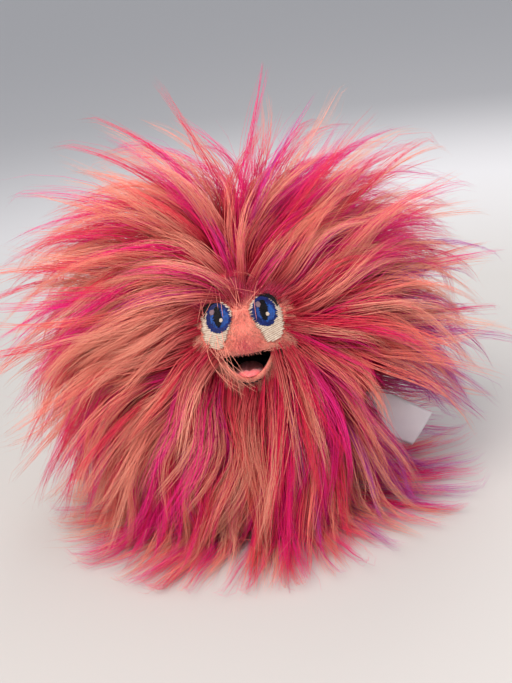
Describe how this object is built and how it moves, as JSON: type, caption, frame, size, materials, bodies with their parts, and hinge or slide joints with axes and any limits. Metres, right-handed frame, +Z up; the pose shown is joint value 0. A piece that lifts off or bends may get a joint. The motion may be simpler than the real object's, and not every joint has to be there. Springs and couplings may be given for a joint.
{
  "type": "moving mouth hand puppet",
  "caption": "Shaggy ball-shaped hand puppet of long faux fur, with an embroidered face and a mouth that a hand inside opens and closes.",
  "frame": {"origin": "middle of the bounding box on the floor the puppet stands on", "axes": "+Z up, the face looks along -Y and about 25 degrees up, +X to the right of a person who faces the puppet"},
  "size_m": [0.376, 0.3725, 0.3],
  "materials": {
    "peach_fur": "matte",
    "pink_fur": "matte",
    "coral_fur": "matte",
    "stuffing": "matte",
    "sleeve_fabric": "matte",
    "cuff_fabric": "matte",
    "mouth_lining": "matte",
    "plate_board": "matte",
    "tongue_felt": "matte",
    "face_plush": "matte",
    "white_thread": "satin",
    "blue_thread": "satin",
    "black_thread": "satin",
    "satin_label": "satin"
  },
  "bodies": {
    "shell": {"fur_front_left": "peach_fur", "fur_front_right": "coral_fur", "fur_back_left": "coral_fur", "fur_back_right": "pink_fur", "fur_underside_left": "coral_fur", "fur_underside_right": "pink_fur", "fur_crown": "pink_fur", "fur_bib": "peach_fur", "stuffing_crown": "stuffing", "stuffing_back": "stuffing", "stuffing_left": "stuffing", "stuffing_right": "stuffing", "hand_sleeve": "sleeve_fabric", "cuff_hem": "cuff_fabric", "mouth_fold": "mouth_lining"},
    "upper_jaw": {"upper_mouth_lining": "mouth_lining", "upper_mouth_plate": "plate_board", "finger_pocket": "sleeve_fabric", "face_panel": "face_plush", "nose": "face_plush", "eye_white_left": "white_thread", "eye_white_right": "white_thread", "iris_left": "blue_thread", "iris_right": "blue_thread", "pupil_left": "black_thread", "pupil_right": "black_thread", "highlight_left": "white_thread", "highlight_right": "white_thread", "lid_line_left": "black_thread", "lid_line_right": "black_thread"},
    "lower_jaw": {"lower_mouth_lining": "mouth_lining", "lower_mouth_plate": "plate_board", "thumb_pocket": "sleeve_fabric", "tongue": "tongue_felt", "lower_lip": "face_plush", "chin_fur": "coral_fur"},
    "label": {"care_label": "satin_label"}
  },
  "joints": [
    {"name": "face_lift", "type": "hinge", "parent": "shell", "child": "upper_jaw", "pos_m": [0, -0.038, 0.122], "axis": [-1, 0, 0], "range_deg": [0, 12]},
    {"name": "jaw_open", "type": "hinge", "parent": "shell", "child": "lower_jaw", "pos_m": [0, -0.038, 0.122], "axis": [1, 0, 0], "range_deg": [-10, 30]},
    {"name": "label_flex", "type": "hinge", "parent": "shell", "child": "label", "pos_m": [0.07807, -0.012, 0.06128], "axis": [-0.5878, 0, -0.809], "range_deg": [0, 30], "stiffness_Nm_per_rad": 0.0005}
  ]
}
